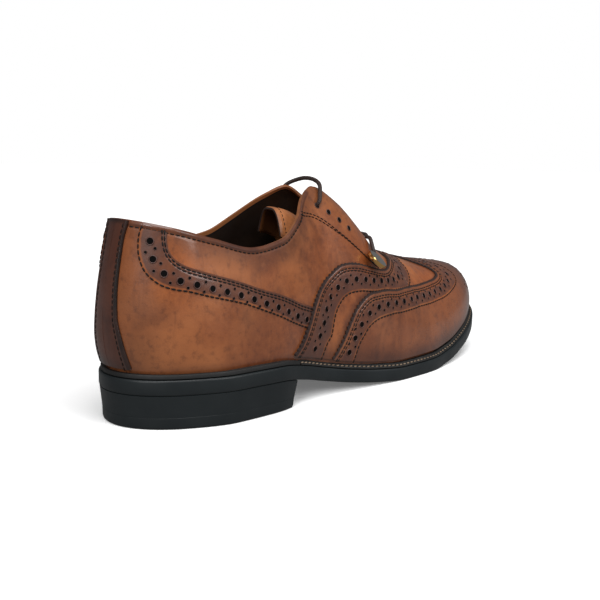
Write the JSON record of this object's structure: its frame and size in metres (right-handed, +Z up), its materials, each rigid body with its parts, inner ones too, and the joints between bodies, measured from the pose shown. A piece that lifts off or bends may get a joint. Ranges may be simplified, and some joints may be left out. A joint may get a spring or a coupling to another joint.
{
  "type": "wingtip brogue shoe",
  "caption": "Closed-lacing leather dress shoe with a wing toe cap, punched bands, stitched welt, block heel and hollow upper open at the collar.",
  "frame": {"origin": "centre of the shoe's length and width, on the plane its heel and forefoot stand on", "axes": "+X from heel to toe, +Y towards the inner side of the foot, +Z up"},
  "size_m": [0.3028, 0.0978, 0.1157],
  "materials": {
    "heel_rubber": "satin",
    "sole_rubber": "satin",
    "rand_leather": "satin",
    "welt_leather": "satin",
    "insole_leather": "matt",
    "upper_leather": "polished",
    "strip_leather": "polished",
    "band_leather": "polished",
    "band_leather_in": "polished",
    "vamp_leather": "polished",
    "cap_leather": "polished",
    "tongue_leather": "satin",
    "lace_cotton": "matt",
    "disc_brass": "polished"
  },
  "bodies": {
    "root": {"heel": "heel_rubber", "outsole": "sole_rubber", "heel_rand": "rand_leather", "welt": "welt_leather", "insole": "insole_leather", "upper": "upper_leather", "back_strip": "strip_leather", "counter_band_lateral": "band_leather", "counter_band_medial": "band_leather_in", "vamp": "vamp_leather", "wing_cap": "cap_leather", "tongue": "tongue_leather", "lace_top": "lace_cotton", "lace_bottom": "lace_cotton", "lace_disc": "disc_brass"}
  },
  "joints": []
}
